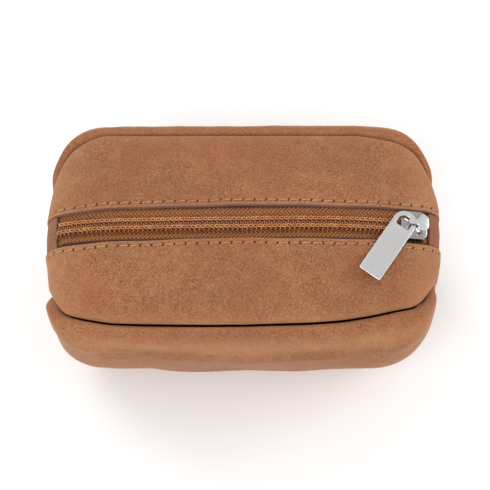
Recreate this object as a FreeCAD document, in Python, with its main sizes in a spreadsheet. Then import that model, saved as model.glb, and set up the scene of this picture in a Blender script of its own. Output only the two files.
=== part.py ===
import FreeCAD, Part
import math
import os
import Sketcher

# Zipped leather pouch, in millimetres.  It stands upright on its bottom: X runs along the zip,
# -Y is the front, +Z is up, and the origin is the middle of the resting face.
#
# Two cushioned panels (front and back) are joined by a band that runs once round the pouch.
# The band's path is a closed loop in the XZ plane: a shallow crown, two shoulders, two leaning
# sides, two bottom corners and a flat bottom.  A place on it is given by q, the length along the
# loop from the top middle (positive to the right), and by the distance across it from the zip.

SIZES = [
    # the loop
    ("pouch_height", 68.0), ("half_width", 59.3), ("crown_radius", 235.0),
    ("shoulder_radius", 7.0), ("corner_radius", 18.0), ("side_lean", 3.0),
    # the band: half its width at the top and at the sides, and where it tapers
    ("band_top_half", 30.4), ("band_side_half", 15.0), ("taper_start", 48.0), ("taper_end", 72.0),
    ("dome_top", 7.0), ("dome_side", 1.5), ("dome_start", 25.0), ("dome_end", 75.0), ("dome_foot", 0.3),
    # the panels
    ("panel_reach", 37.0), ("panel_reach_height", 46.0), ("panel_foot_reach", 20.5),
    ("panel_top_fall", 2.0), ("panel_fall_power", 1.7), ("foot_cut", 0.08),
    ("face_lean", 0.2), ("flat_start", 0.2), ("flat_full", 0.62), ("flat_ring", 0.7),
    ("roll_top", 8.0), ("roll_foot", 11.0), ("roll_side_front", 12.0), ("roll_side_back", 26.0),
    ("roll_start_front", 50.0), ("roll_start_back", 38.0),
    # materials and the spaces between them
    ("leather", 1.4), ("tab_leather", 1.0), ("lining", 0.4), ("layer_gap", 0.1),
    ("seam_gap", 0.5), ("panel_gap", 0.8), ("thread", 0.36),
    ("strip_seam", 72.0), ("zip_gap_half", 5.35), ("tab_start", 55.3), ("tab_side_gap", 0.1),
    ("tape_thickness", 0.5), ("tape_inner", 0.95), ("tape_outer", 13.0), ("tape_end", 62.0),
    ("lining_inner", 6.2),
    # topstitching beside the zip
    ("stitch_pitch", 3.45), ("seam_pitch", 1.8), ("stitch_length", 2.6), ("stitch_inset", 1.5),
    ("stitch_end", 59.0), ("bare_start", 48.0), ("bare_end", 61.5),
    # the coils
    ("coil_pitch", 1.4), ("coil_wire", 0.6), ("coil_reach", 2.4), ("coil_mesh", 0.35),
    ("coil_top", 0.05), ("coil_bottom", -1.45), ("coil_wall", 0.4), ("coil_part", 1.2),
    ("coil_link", 0.4), ("cord", 0.5), ("coil_end", 54.9),
    # the slider, in its own frame: X along the zip, Z out of the pouch, Z = 0 on the leather
    ("slider_rest", 50.8), ("slider_length", 8.0), ("slider_half", 4.4), ("channel_half", 3.75),
    ("wing_low", 0.2), ("wing_thick", 0.9), ("wing_round", 2.4), ("plate_top", -2.15),
    ("plate_thick", 0.8), ("flange_low", -1.38),
    ("wedge_start", 0.4), ("wedge_end", 3.6), ("wedge_half", 0.7),
    # the cap over the puller's ring, measured from the ring's bar
    ("bar_x", -0.4), ("bar_rise", 0.95), ("tunnel_half", 1.0), ("neck_thick", 0.8),
    ("neck_half", 0.65), ("roof_gap", 0.97), ("cap_thick", 0.6), ("fan_wide", 1.6),
    ("fan_half", 3.2), ("fan_end", 4.2), ("foot_half", 1.9), ("cap_wall", 0.3),
    # the puller
    ("puller_length", 23.3), ("puller_width", 7.2), ("puller_thick", 0.9), ("eye_radius", 2.25),
    ("puller_yaw", 57.0), ("puller_pitch", 3.0), ("puller_roll", 5.0), ("puller_edge", 0.12),
    # the lock inside the cap
    ("pawl_start", 1.4), ("pawl_end", 3.5), ("pawl_half", 1.5), ("pawl_thick", 0.2),
    ("tooth_start", 2.55), ("tooth_length", 0.5), ("tooth_low", -0.25), ("tooth_low_side", 0.8),
    ("tooth_width", 0.5), ("slot_gap", 0.1), ("spring_half", 0.4), ("spring_thick", 0.12),
    ("spring_foot", 0.15),
]

doc = FreeCAD.newDocument("pouch")
sheet = doc.addObject("Spreadsheet::Sheet", "Sizes")
for row, (alias, number) in enumerate(SIZES, start=1):
    sheet.set("A%d" % row, alias)
    sheet.set("B%d" % row, str(number))
    sheet.setAlias("B%d" % row, alias)
doc.recompute()

parts = []


def size(alias):
    return float(sheet.get(alias))


def keep(obj, label):
    """Give a finished sub-part its name and put it on the list that is written out."""
    obj.Label = label
    parts.append(obj)
    return obj


def feature(label, shape):
    """A sub-part whose shape is made by the Part functions."""
    obj = doc.addObject("Part::Feature", label)
    obj.Shape = shape
    return keep(obj, label)


def ease(start, end, value):
    """0 before start, 1 after end, and a smooth step between them."""
    share = min(max((value - start) / (end - start), 0.0), 1.0)
    return share * share * (3.0 - 2.0 * share)


def mix(low, high, share):
    return low + (high - low) * share


# ---------------------------------------------------------------- the loop

H = size("pouch_height")
CROWN_R = size("crown_radius")
SHOULDER_R = size("shoulder_radius")
CORNER_R = size("corner_radius")
CROWN_TURN = math.asin((size("half_width") - SHOULDER_R) / (CROWN_R - SHOULDER_R))
SIDE_TURN = math.radians(90.0 + size("side_lean"))
CROWN_CENTRE = (0.0, H - CROWN_R)
SHOULDER_CENTRE = ((CROWN_R - SHOULDER_R) * math.sin(CROWN_TURN),
                   H - CROWN_R + (CROWN_R - SHOULDER_R) * math.cos(CROWN_TURN))
SIDE_TOP = (SHOULDER_CENTRE[0] + SHOULDER_R * math.sin(SIDE_TURN),
            SHOULDER_CENTRE[1] + SHOULDER_R * math.cos(SIDE_TURN))
SIDE_WAY = (math.cos(SIDE_TURN), -math.sin(SIDE_TURN))
FOOT_CUT = size("foot_cut")
SIDE_FALL = SIDE_TOP[1] + FOOT_CUT - CORNER_R * (1.0 + math.cos(SIDE_TURN))
SIDE_LENGTH = SIDE_FALL / -SIDE_WAY[1]
CORNER_CENTRE = (SIDE_TOP[0] + SIDE_WAY[0] * SIDE_LENGTH - CORNER_R * math.sin(SIDE_TURN),
                 CORNER_R - FOOT_CUT)
Q_CROWN = CROWN_R * CROWN_TURN
Q_SHOULDER = Q_CROWN + SHOULDER_R * (SIDE_TURN - CROWN_TURN)
Q_SIDE = Q_SHOULDER + SIDE_LENGTH
Q_CORNER = Q_SIDE + CORNER_R * (math.pi - SIDE_TURN)
Q_BOTTOM = Q_CORNER + CORNER_CENTRE[0]


def loop_place(q):
    """Place and outward direction on the loop, both as (x, z)."""
    side = 1.0 if q >= 0.0 else -1.0
    q = abs(q)
    if q <= Q_CROWN:
        centre, radius, turn = CROWN_CENTRE, CROWN_R, q / CROWN_R
    elif q <= Q_SHOULDER:
        centre, radius = SHOULDER_CENTRE, SHOULDER_R
        turn = CROWN_TURN + (q - Q_CROWN) / SHOULDER_R
    elif q <= Q_SIDE:
        run = q - Q_SHOULDER
        centre = (SIDE_TOP[0] + SIDE_WAY[0] * run, SIDE_TOP[1] + SIDE_WAY[1] * run)
        radius, turn = 0.0, SIDE_TURN
    elif q <= Q_CORNER:
        centre, radius = CORNER_CENTRE, CORNER_R
        turn = SIDE_TURN + (q - Q_SIDE) / CORNER_R
    else:
        centre, radius, turn = (Q_BOTTOM - q, -FOOT_CUT), 0.0, math.pi
    out = (math.sin(turn), math.cos(turn))
    return (side * (centre[0] + radius * out[0]), centre[1] + radius * out[1]), (side * out[0], out[1])


def band_half(q):
    """Distance from the zip's middle plane to the seam."""
    share = ease(size("taper_start"), size("taper_end"), abs(q))
    return mix(size("band_top_half"), size("band_side_half"), share)


def dome(q):
    """How far the seam lies inside the zip's line: the band is domed from seam to seam."""
    depth = mix(size("dome_top"), size("dome_side"),
                ease(size("dome_start"), size("dome_end"), abs(q)))
    return depth - (size("dome_side") - size("dome_foot")) * ease(Q_SIDE, Q_CORNER, abs(q))


def band_point(q, across):
    """A point of the band's outer face, across being the distance from the zip (+ to the back)."""
    (x, z), out = loop_place(q)
    fall = dome(q) * (across / band_half(q)) ** 2
    return FreeCAD.Vector(x - out[0] * fall, across, z - out[1] * fall)


def face_reach(z):
    """Distance of a panel's face from the middle plane at height z."""
    peak = size("panel_reach_height")
    below = min(max((peak - z) / peak, 0.0), 1.0)
    above = min(max((z - peak) / (H - peak), 0.0), 1.0)
    fall = (size("panel_reach") - size("panel_foot_reach")) * below ** size("panel_fall_power")
    return size("panel_reach") - fall - size("panel_top_fall") * above ** 2


def roll_width(q, back):
    """Width of the rolled edge, between the seam and the panel's face."""
    side = size("roll_side_back") if back > 0 else size("roll_side_front")
    start = size("roll_start_back") if back > 0 else size("roll_start_front")
    width = mix(size("roll_top"), side, ease(start, size("taper_end"), abs(q)))
    return width + (size("roll_foot") - side) * ease(Q_SIDE, Q_CORNER, abs(q))


def face_plane(z):
    """The flat middle of a panel, leaning as the face does there."""
    return face_reach(H / 2.0) + size("face_lean") * (z - H / 2.0)


def panel_point(q, turn, inward, back):
    """A point of a panel: turn goes over the rolled edge (0 to 90), then inward to the middle."""
    seam = band_point(q, back * band_half(q))
    dx, dz = -seam.x, H / 2.0 - seam.z
    away = math.hypot(dx, dz)
    roll = roll_width(q, back)
    angle = math.radians(turn)
    run = roll * (1.0 - math.cos(angle)) + (away - roll) * inward
    x, z = seam.x + dx * run / away, seam.z + dz * run / away
    flat = ease(size("flat_start"), size("flat_full"), inward)
    reach = mix(face_reach(z), face_plane(z), flat)
    return FreeCAD.Vector(x, back * mix(band_half(q), reach, math.sin(angle)), z)


# ---------------------------------------------------------------- sheets

NUDGE = 0.01


def outward(point_at, u, v, flip):
    """Unit normal of a surface, from two small steps on it."""
    along = point_at(u + NUDGE, v) - point_at(u - NUDGE, v)
    across = point_at(u, v + NUDGE) - point_at(u, v - NUDGE)
    return along.cross(across).normalize() * flip


def steps(start, end, pitch):
    """Evenly spaced values from start to end, no further apart than pitch."""
    count = max(int(math.ceil(abs(end - start) / pitch)), 1)
    return [start + (end - start) * i / count for i in range(count + 1)]


def skin(point_at, us, vs, flip, level):
    """A smooth surface through the points that lie at one level above point_at."""
    rows = [[point_at(u, v) + outward(point_at, u, v, flip) * level for v in vs] for u in us]
    patch = Part.BSplineSurface()
    patch.interpolate(rows)
    return patch


def borders(patch):
    """The four border curves of a surface: first row, last row, first column, last column."""
    u_low, u_high, v_low, v_high = patch.bounds()
    return [patch.uIso(u_low), patch.uIso(u_high), patch.vIso(v_low), patch.vIso(v_high)]


def rim(high_curve, low_curve):
    """The straight-ruled cut edge between the same border of two surfaces."""
    return high_curve.makeRuledSurface(low_curve).toShape()


def closed_solid(faces):
    shell = Part.Shell(faces)
    shell.sewShape()
    solid = Part.Solid(shell)
    if solid.Volume < 0:
        solid.reverse()
    return solid


def level_foot(solid):
    """The solid with whatever lies below the resting plane cut off."""
    below = Part.makeBox(4.0 * H, 2.0 * H, CORNER_R, FreeCAD.Vector(-2.0 * H, -H, -CORNER_R))
    return solid.cut(below)


def sheet_solid(point_at, us, vs, flip, top, bottom):
    """A slab of even thickness between two levels of a surface."""
    high = skin(point_at, us, vs, flip, top)
    low = skin(point_at, us, vs, flip, bottom)
    rims = [rim(a, b) for a, b in zip(borders(high), borders(low))]
    return closed_solid([high.toShape(), low.toShape()] + rims)


def band_sheet(q_from, q_to, inner, edge_gap, back, top, bottom):
    """A piece of the band on one side of the zip, from the distance inner out to the seam."""
    def point_at(q, share):
        return band_point(q, back * mix(inner, band_half(q) - edge_gap, share))

    return sheet_solid(point_at, steps(q_from, q_to, 4.0), steps(0.0, 1.0, 0.125), back, top, bottom)


def tape_sheet(q_end, inner, outer, back, top, bottom):
    """A ribbon of the band between two fixed distances from the zip."""
    def point_at(q, across):
        return band_point(q, back * across)

    return sheet_solid(point_at, steps(-q_end, q_end, 4.0), steps(inner, outer, 3.0), back,
                       top, bottom)


def panel_sheet(back, top, bottom, edge_gap):
    """A whole panel: two half rings of rolled edge and face, and a flat middle."""
    def point_at(q, key):
        depth = face_reach(band_point(q, band_half(q)).z) - band_half(q)
        first = math.degrees(math.asin(edge_gap / depth))
        turn = mix(first, 90.0, min(key, 90.0) / 90.0)
        return panel_point(q, turn, max(key - 90.0, 0.0) / 90.0, back)

    keys = [0.0, 12.0, 26.0, 42.0, 58.0, 74.0, 90.0]
    keys += [90.0 + 90.0 * share for share in (0.12, 0.25, 0.38, 0.5, 0.62, size("flat_ring"))]
    faces = []
    rims = []
    mouths = {top: [], bottom: []}
    for q_from, q_to in ((-Q_BOTTOM, 0.0), (0.0, Q_BOTTOM)):
        qs = steps(q_from, q_to, 3.2)
        edges = []
        for level in (top, bottom):
            patch = skin(lambda key, q: point_at(q, key), keys, qs, -back, level)
            faces.append(patch.toShape())
            first_row, last_row = borders(patch)[:2]
            edges.append(first_row)
            mouths[level].append(last_row.toShape())
        rims.append(rim(edges[0], edges[1]))
    caps = [Part.Face(Part.Wire(mouths[level])) for level in (top, bottom)]
    return closed_solid(faces + rims + caps)


LEATHER = size("leather")
UNDER_LEATHER = -LEATHER - size("layer_gap")
UNDER_TAPE = UNDER_LEATHER - size("tape_thickness")
LINING_TOP = UNDER_TAPE - size("layer_gap")
SEAM_EDGE = size("seam_gap") / 2.0
FRONT, BACK = -1.0, 1.0
SIDES = (("front", FRONT), ("back", BACK))

for name, back in SIDES:
    feature("%s_panel" % name, panel_sheet(back, 0.0, -LEATHER, size("panel_gap")))
    feature("lining_%s" % name,
            panel_sheet(back, UNDER_LEATHER, UNDER_LEATHER - size("lining"), SEAM_EDGE))
    strip_end = size("strip_seam") - SEAM_EDGE
    feature("zip_strip_%s" % name,
            band_sheet(-strip_end, strip_end, size("zip_gap_half"), SEAM_EDGE, back, 0.0, -LEATHER))
    feature("lining_strip_%s" % name,
            band_sheet(-strip_end, strip_end, size("lining_inner"), SEAM_EDGE, back,
                       LINING_TOP, LINING_TOP - size("lining")))
    feature("zip_tape_%s" % name,
            tape_sheet(size("tape_end"), size("tape_inner"), size("tape_outer"), back,
                       UNDER_LEATHER, UNDER_TAPE))


def base_band(top, bottom):
    """The side and bottom band, from one cross seam down, under the pouch and up to the other."""
    def point_at(q, share):
        place = q if q <= Q_BOTTOM else q - 2.0 * Q_BOTTOM
        return band_point(place, share * (band_half(place) - SEAM_EDGE))

    start = size("strip_seam") + SEAM_EDGE
    return sheet_solid(point_at, steps(start, 2.0 * Q_BOTTOM - start, 4.0), steps(-1.0, 1.0, 0.25),
                       1.0, top, bottom)


def end_tab(side):
    """The leather tab that closes one end of the zip, lying on the tapes between the strips."""
    reach = size("zip_gap_half") - size("tab_side_gap")

    def point_at(q, across):
        return band_point(side * q, across)

    return sheet_solid(point_at, steps(size("tab_start"), size("strip_seam") - SEAM_EDGE, 2.5),
                       steps(-reach, reach, 2.5), side,
                       UNDER_LEATHER + size("layer_gap") + size("tab_leather"),
                       UNDER_LEATHER + size("layer_gap"))


feature("base_gusset", level_foot(base_band(0.0, -LEATHER)))
feature("lining_gusset", base_band(UNDER_LEATHER, UNDER_LEATHER - size("lining")))
feature("zip_end_tab_left", end_tab(-1.0))
feature("zip_end_tab_right", end_tab(1.0))


# ---------------------------------------------------------------- threads

def bar(start, end, radius):
    """A straight stitch."""
    way = end - start
    return Part.makeCylinder(radius, way.Length, start, way)


def stitch_row(points):
    """Stitches from point to point, with a small space between one and the next."""
    row = []
    for start, end in zip(points, points[1:]):
        gap = (end - start).normalize() * size("layer_gap")
        row.append(bar(start + gap, end - gap, size("thread") / 2.0))
    return row


def tube(points, radius):
    """A round cord through the given points."""
    rings = []
    for i, point in enumerate(points):
        way = points[min(i + 1, len(points) - 1)] - points[max(i - 1, 0)]
        rings.append(Part.Wire(Part.makeCircle(radius, point, way)))
    return Part.makeLoft(rings, True)


def seam_thread(back):
    """The thread of one panel's seam from the top to the bottom middle, bare at the shoulders."""
    aside = (size("panel_gap") - SEAM_EDGE) / 3.0
    stitches = []
    runs = ((0.0, size("bare_start")), (size("bare_end"), Q_BOTTOM))
    for side, (q_from, q_to) in [(side, run) for side in (-1.0, 1.0) for run in runs]:
        points = []
        for q in steps(q_from, q_to, size("seam_pitch")):
            (x, z), out = loop_place(side * q)
            fall = dome(q) + LEATHER / 2.0
            points.append(FreeCAD.Vector(x - out[0] * fall, back * (band_half(q) + aside),
                                         z - out[1] * fall))
        stitches += stitch_row(points)
    return Part.Compound(stitches)


def cross_thread(side):
    """The thread of the seam between the strips and the side band."""
    reach = band_half(size("strip_seam")) - 2.0 * size("seam_gap")
    (x, z), out = loop_place(side * size("strip_seam"))
    points = []
    for across in steps(-reach, reach, size("stitch_pitch")):
        fall = dome(size("strip_seam")) * (across / band_half(size("strip_seam"))) ** 2
        fall += LEATHER / 2.0
        points.append(FreeCAD.Vector(x - out[0] * fall, across, z - out[1] * fall))
    return Part.Compound(stitch_row(points))


def topstitches(back):
    """The row of stitches along a strip's edge, each lying on the leather."""
    across = back * (size("zip_gap_half") + size("stitch_inset"))
    radius = size("thread") / 2.0
    stitches = []
    for middle in steps(-size("stitch_end"), size("stitch_end"), size("stitch_pitch")):
        ends = []
        for q in (middle - size("stitch_length") / 2.0, middle + size("stitch_length") / 2.0):
            out = loop_place(q)[1]
            lift = FreeCAD.Vector(out[0], 0.0, out[1]) * (radius + size("layer_gap"))
            ends.append(band_point(q, across) + lift)
        stitches.append(bar(ends[0], ends[1], radius))
    return Part.Compound(stitches)


for name, back in SIDES:
    feature("seam_thread_%s" % name, seam_thread(back))
    feature("strip_stitching_%s" % name, topstitches(back))
feature("cross_seam_thread_left", cross_thread(-1.0))
feature("cross_seam_thread_right", cross_thread(1.0))


# ---------------------------------------------------------------- coils

SLIDER_Q = size("slider_rest")
PITCH = size("coil_pitch")
COIL_HEIGHT = size("coil_top") - size("coil_bottom")


def zip_frame(q):
    """A placement on the zip's line: X along it, Y to the back, Z out of the pouch."""
    (x, z), out = loop_place(q)
    turn = math.degrees(math.atan2(out[0], out[1]))
    return FreeCAD.Placement(FreeCAD.Vector(x, 0.0, z), FreeCAD.Rotation(FreeCAD.Vector(0, 1, 0), turn))


def parting(q):
    """How far the coils stand apart: meshed behind the slider's wedge, open beyond it."""
    return size("coil_part") * ease(SLIDER_Q - 1.5, SLIDER_Q + 2.5, q)


def coil_turn(back, q):
    """One flattened turn of a coil, an eye that the cord runs through."""
    wire, wall, height = size("coil_wire"), size("coil_wall"), COIL_HEIGHT
    low = -size("coil_mesh") + parting(q)
    high = size("coil_reach") + parting(q)
    box = Part.makeBox(wire, high - low, height, FreeCAD.Vector(-wire / 2.0, low, size("coil_bottom")))
    eye = Part.makeBox(wire * 2.0, high - low - 2.0 * wall, height - 2.0 * wall,
                       FreeCAD.Vector(-wire, low + wall, size("coil_bottom") + wall))
    turn = box.cut(eye)
    if back < 0.0:
        turn = turn.mirror(FreeCAD.Vector(0, 0, 0), FreeCAD.Vector(0, 1, 0))
    turn.Placement = zip_frame(q).multiply(turn.Placement)
    return turn


def coil_join(back, q):
    """The run of wire from one turn to the next, along the coil's outer foot."""
    link = size("coil_link")
    outer = size("coil_reach") + parting(q)
    start = outer - link if back > 0.0 else -outer
    join = Part.makeBox(PITCH, link, link, FreeCAD.Vector(-PITCH / 2.0, start, size("coil_bottom")))
    join.Placement = zip_frame(q).multiply(join.Placement)
    return join


def turn_places(back):
    """Where the turns stand; the back coil's turns stand between the front coil's."""
    last = int(size("coil_end") / PITCH)
    offset = PITCH / 2.0 if back > 0.0 else 0.0
    places = [i * PITCH + offset for i in range(-last, last)]
    return [q for q in places if abs(q) + PITCH / 2.0 <= size("coil_end")]


def coil(back):
    places = turn_places(back)
    turns = [coil_turn(back, q) for q in places]
    joins = [coil_join(back, (a + b) / 2.0) for a, b in zip(places, places[1:])]
    return turns[0].fuse(turns[1:] + joins).removeSplitter()


def core_cord(back):
    """The cord inside a coil."""
    centre = (size("coil_reach") + size("coil_mesh")) / 2.0 - size("coil_mesh")
    level = (size("coil_top") + size("coil_bottom")) / 2.0
    places = turn_places(back)
    points = []
    for q in steps(places[0], places[-1], 2.5):
        (x, z), out = loop_place(q)
        points.append(FreeCAD.Vector(x + out[0] * level, back * (centre + parting(q)),
                                     z + out[1] * level))
    return tube(points, size("cord") / 2.0)


def coil_stitches(back):
    """The sewing thread that crosses a coil in each gap between its turns."""
    places = turn_places(back)
    width, height = size("thread"), size("thread")
    stitches = []
    for a, b in zip(places, places[1:]):
        middle = (a + b) / 2.0
        low = size("coil_mesh") + 2.0 * size("layer_gap") + parting(middle)
        high = size("coil_reach") - size("layer_gap") + parting(middle)
        start = low if back > 0.0 else -high
        stitch = Part.makeBox(width, high - low, height,
                              FreeCAD.Vector(-width / 2.0, start, size("coil_top") - height))
        stitch.Placement = zip_frame(middle).multiply(stitch.Placement)
        stitches.append(stitch)
    return Part.Compound(stitches)


for name, back in SIDES:
    feature("zip_coil_%s" % name, coil(back))
    feature("core_cord_%s" % name, core_cord(back))
    feature("coil_stitch_%s" % name, coil_stitches(back))


# ---------------------------------------------------------------- slider, cap and lock

SLIDER_FRAME = zip_frame(SLIDER_Q)
BAR = FreeCAD.Vector(size("bar_x"), 0.0, size("wing_low") + size("wing_thick") + size("bar_rise"))


def block(name, x_span, y_span, z_span):
    """A box bound to the sheet: each span is its low end and its length, as expressions."""
    box = doc.addObject("Part::Box", name)
    for axis, side, (low, length) in zip("xyz", ("Length", "Width", "Height"),
                                         (x_span, y_span, z_span)):
        box.setExpression(side, length)
        box.setExpression("Placement.Base.%s" % axis, low)
    return box


def named(*texts):
    """Expressions in terms of the sheet: each {word} is a cell's alias."""
    return tuple(text.replace("{", "Sizes.").replace("}", "") for text in texts)


def wedge(name, x_start, run, half_start, half_end, low, height):
    """A flat piece whose width changes evenly along +X, as expressions."""
    shape = doc.addObject("Part::Wedge", name)
    shape.setExpression("Ymin", "0")
    shape.setExpression("Ymax", run)
    shape.setExpression("Xmin", "-(%s)" % half_start)
    shape.setExpression("Xmax", half_start)
    shape.setExpression("X2min", "-(%s)" % half_end)
    shape.setExpression("X2max", half_end)
    shape.setExpression("Zmin", "0")
    shape.setExpression("Z2min", "0")
    shape.setExpression("Zmax", height)
    shape.setExpression("Z2max", height)
    shape.Placement = FreeCAD.Placement(FreeCAD.Vector(0, 0, 0),
                                        FreeCAD.Rotation(FreeCAD.Vector(0, 0, 1), -90.0))
    shape.setExpression("Placement.Base.x", x_start)
    shape.setExpression("Placement.Base.z", low)
    return shape


def joined(name, pieces):
    fuse = doc.addObject("Part::MultiFuse", name)
    fuse.Shapes = pieces
    return fuse


def cut(name, base, tool):
    result = doc.addObject("Part::Cut", name)
    result.Base = base
    result.Tool = tool
    return result


def upright_edges(shape, height):
    """The numbers of a box's four upright edges."""
    return [i for i, edge in enumerate(shape.Edges, start=1)
            if abs(abs(edge.tangentAt(edge.FirstParameter).z) - 1.0) < 1e-6 and edge.Length > height]


def make_slider_body():
    """Two wings joined by a wedge, with a channel for the coils and a slot for the tapes."""
    wing_top = "({wing_low} + {wing_thick})"
    low = "({plate_top} - {plate_thick})"
    outer = block("slider_block",
                  named("-{slider_length} / 2", "{slider_length}"),
                  named("-{slider_half}", "2 * {slider_half}"),
                  named(low, wing_top + " - " + low))
    doc.recompute()
    rounded = doc.addObject("Part::Fillet", "slider_rounded")
    rounded.Base = outer
    radius = size("wing_round")
    rounded.Edges = [(i, radius, radius) for i in upright_edges(outer.Shape, 1.0)]
    channel = block("coil_channel", named("-{slider_length}", "2 * {slider_length}"),
                    named("-{channel_half}", "2 * {channel_half}"),
                    named("{flange_low}", "{wing_low} - {flange_low}"))
    slot = block("tape_slot", named("-{slider_length}", "2 * {slider_length}"),
                 named("-{slider_half} - 1", "2 * {slider_half} + 2"),
                 named("{plate_top}", "{flange_low} - {plate_top}"))
    hollow = cut("slider_hollow", cut("slider_channelled", rounded, channel), slot)
    divider = wedge("slider_wedge", *named("{wedge_start}", "{wedge_end} - {wedge_start}", "0.05",
                                           "{wedge_half}", "{plate_top} - {plate_thick} / 2",
                                           "{wing_low} + {wing_thick} / 2 - {plate_top}"
                                           " + {plate_thick} / 2"))
    tooth_start = "{bar_x} + {tooth_start} - {slot_gap}"
    tooth_slot = block("tooth_slot",
                       named(tooth_start, "{tooth_length} + 2 * {slot_gap}"),
                       named("{tooth_low_side} - {slot_gap}", "{tooth_width} + 2 * {slot_gap}"),
                       named("{wing_low} - 1", "{wing_thick} + 2"))
    body = cut("slider_body_shape", joined("slider_whole", [hollow, divider]), tooth_slot)
    return keep(body, "slider_body")


def make_slider_cap():
    """The crown: a neck over the puller's ring, a post down through it, and a fan-shaped foot."""
    floor = "({wing_low} + {wing_thick})"
    roof = "(" + floor + " + {bar_rise} + {roof_gap})"
    neck = block("cap_neck",
                 named("{bar_x} - {tunnel_half} - {neck_thick}",
                       "{neck_thick} + 2 * {tunnel_half} + {fan_wide}"),
                 named("-{neck_half}", "2 * {neck_half}"), named(roof, "{cap_thick}"))
    post = block("cap_post", named("{bar_x} - {tunnel_half} - {neck_thick}", "{neck_thick}"),
                 named("-{neck_half}", "2 * {neck_half}"), named(floor, roof + " - " + floor))
    fan_open = wedge("cap_fan", *named("{bar_x} + {tunnel_half}", "{fan_wide}", "{neck_half}",
                                       "{fan_half}", roof, "{cap_thick}"))
    fan_close = wedge("cap_fan_end",
                      *named("{bar_x} + {tunnel_half} + {fan_wide}",
                             "{fan_end} - {tunnel_half} - {fan_wide}", "{fan_half}",
                             "{fan_half} * 0.6", roof, "{cap_thick}"))
    foot = block("cap_foot", named("{bar_x} + {tunnel_half}", "{fan_end} - {tunnel_half} - 0.3"),
                 named("-{foot_half}", "2 * {foot_half}"), named(floor, roof + " - " + floor))
    cavity = block("cap_cavity",
                   named("{bar_x} + {tunnel_half} + {cap_wall}",
                         "{fan_end} - {tunnel_half} - 0.3 - 2 * {cap_wall}"),
                   named("-{foot_half} + {cap_wall}", "2 * ({foot_half} - {cap_wall})"),
                   named(floor + " - 1", roof + " - " + floor + " + 1"))
    hollow_foot = cut("cap_hollow_foot", foot, cavity)
    return keep(joined("cap_shape", [neck, post, fan_open, fan_close, hollow_foot]), "slider_cap")


def make_lock_pawl():
    """A spring-steel plate in the foot, with a tooth that drops between two turns of a coil."""
    floor = "({wing_low} + {wing_thick} + {slot_gap})"
    plate = block("pawl_plate", named("{bar_x} + {pawl_start}", "{pawl_end} - {pawl_start}"),
                  named("-{pawl_half}", "2 * {pawl_half}"), named(floor, "{pawl_thick}"))
    tooth = block("pawl_tooth", named("{bar_x} + {tooth_start}", "{tooth_length}"),
                  named("{tooth_low_side}", "{tooth_width}"),
                  named("{tooth_low}", floor + " + {pawl_thick} - {tooth_low}"))
    return keep(joined("pawl_shape", [plate, tooth]), "lock_pawl")


def make_lock_spring():
    """A bowed leaf between the pawl and the roof of the foot."""
    low = "({wing_low} + {wing_thick} + {slot_gap} + {pawl_thick} + 0.05)"
    roof = "({wing_low} + {wing_thick} + {bar_rise} + {roof_gap} - 0.05)"
    run = "({pawl_end} - {pawl_start} - 0.2)"
    feet = []
    for name, start in (("spring_left", "{bar_x} + {pawl_start} + 0.1"),
                        ("spring_right", "{bar_x} + {pawl_end} - 0.1 - {spring_foot}")):
        feet.append(block(name, named(start, "{spring_foot}"),
                          named("-{spring_half}", "2 * {spring_half}"),
                          named(low, roof + " - " + low)))
    top = block("spring_bow", named("{bar_x} + {pawl_start} + 0.1", run),
                named("-{spring_half}", "2 * {spring_half}"),
                named(roof + " - {spring_thick}", "{spring_thick}"))
    return keep(joined("spring_shape", feet + [top]), "lock_spring")


# ---------------------------------------------------------------- puller

def puller_frame():
    """The ring's bar is at the origin of the puller's frame; the plate runs along its +X."""
    yaw = FreeCAD.Rotation(FreeCAD.Vector(0, 0, 1), 180.0 + size("puller_yaw"))
    roll = FreeCAD.Rotation(FreeCAD.Vector(1, 0, 0), size("puller_roll"))
    pitch = FreeCAD.Rotation(FreeCAD.Vector(0, 1, 0), -size("puller_pitch"))
    plate = FreeCAD.Placement(FreeCAD.Vector(0, 0, 0), yaw)
    bar_circle = (size("puller_width") / 2.0 + size("eye_radius")) / 2.0
    ring_centre = FreeCAD.Placement(FreeCAD.Vector(-bar_circle, 0, 0), FreeCAD.Rotation())
    lean = FreeCAD.Placement(BAR, pitch.multiply(roll))
    return SLIDER_FRAME.multiply(lean).multiply(ring_centre).multiply(plate)


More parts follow.
